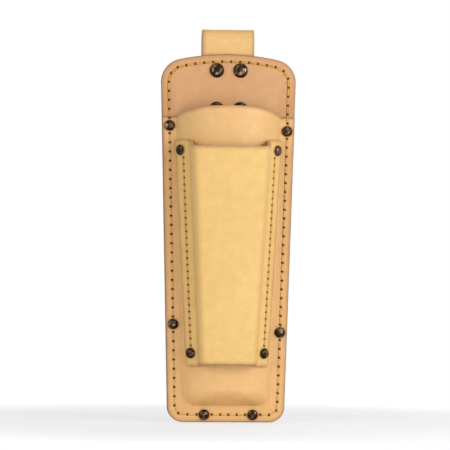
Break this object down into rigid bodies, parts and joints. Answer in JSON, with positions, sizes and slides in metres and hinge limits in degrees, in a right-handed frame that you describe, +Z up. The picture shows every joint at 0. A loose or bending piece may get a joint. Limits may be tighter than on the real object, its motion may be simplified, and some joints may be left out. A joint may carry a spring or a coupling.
{
  "type": "leather tool sheath",
  "caption": "Tan leather belt sheath: long moulded pouch on a round-shouldered back, smaller front pocket, riveted belt strap at the top.",
  "frame": {"origin": "middle of the belt channel, between the strap's two legs, on the sheath's centre plane", "axes": "+Z up, along the sheath towards the belt; -Y to the front, away from the wearer; +X to the viewer's right"},
  "size_m": [0.0878, 0.0528, 0.2555],
  "materials": {
    "pouch_leather": "smooth vegetable-tanned grain, light yellow tan, satin",
    "panel_leather": "smooth vegetable-tanned grain, pinker tan, satin",
    "liner_leather": "brushed flesh side, matt",
    "strap_leather": "smooth vegetable-tanned grain, satin",
    "rivet_metal": "antique nickel plate, glossy",
    "thread": "waxed twisted thread, golden yellow"
  },
  "bodies": {
    "root": {"back_panel": "panel_leather", "back_liner": "liner_leather", "main_pouch": "pouch_leather", "front_pocket": "pouch_leather", "belt_strap": "strap_leather", "pocket_rivet_bottom_left_cap": "rivet_metal", "pocket_rivet_bottom_left_post": "rivet_metal", "pocket_rivet_bottom_right_cap": "rivet_metal", "pocket_rivet_bottom_right_post": "rivet_metal", "pocket_rivet_top_left_cap": "rivet_metal", "pocket_rivet_top_left_post": "rivet_metal", "pocket_rivet_top_right_cap": "rivet_metal", "pocket_rivet_top_right_post": "rivet_metal", "seam_rivet_bottom_left_cap": "rivet_metal", "seam_rivet_bottom_left_post": "rivet_metal", "seam_rivet_bottom_right_cap": "rivet_metal", "seam_rivet_bottom_right_post": "rivet_metal", "seam_rivet_mid_left_cap": "rivet_metal", "seam_rivet_mid_left_post": "rivet_metal", "seam_rivet_mid_right_cap": "rivet_metal", "seam_rivet_mid_right_post": "rivet_metal", "seam_rivet_top_left_cap": "rivet_metal", "seam_rivet_top_left_post": "rivet_metal", "seam_rivet_top_right_cap": "rivet_metal", "seam_rivet_top_right_post": "rivet_metal", "strap_rivet_lower_left_cap": "rivet_metal", "strap_rivet_lower_left_post": "rivet_metal", "strap_rivet_lower_right_cap": "rivet_metal", "strap_rivet_lower_right_post": "rivet_metal", "strap_rivet_upper_left_cap": "rivet_metal", "strap_rivet_upper_left_post": "rivet_metal", "strap_rivet_upper_right_cap": "rivet_metal", "strap_rivet_upper_right_post": "rivet_metal", "bobbin_thread_bottom_left_to_bottom_right": "thread", "bobbin_thread_bottom_right_to_mid_right": "thread", "bobbin_thread_mid_left_to_bottom_left": "thread", "bobbin_thread_mid_right_to_top_right": "thread", "bobbin_thread_top_left_to_mid_left": "thread", "bobbin_thread_top_right_to_top_left": "thread", "needle_thread_bottom_left_to_bottom_right": "thread", "needle_thread_bottom_right_to_mid_right": "thread", "needle_thread_mid_left_to_bottom_left": "thread", "needle_thread_mid_right_to_top_right": "thread", "needle_thread_top_left_to_mid_left": "thread", "needle_thread_top_right_to_top_left": "thread", "pocket_bobbin_thread_left": "thread", "pocket_bobbin_thread_right": "thread", "pocket_needle_thread_left": "thread", "pocket_needle_thread_right": "thread"}
  },
  "joints": []
}
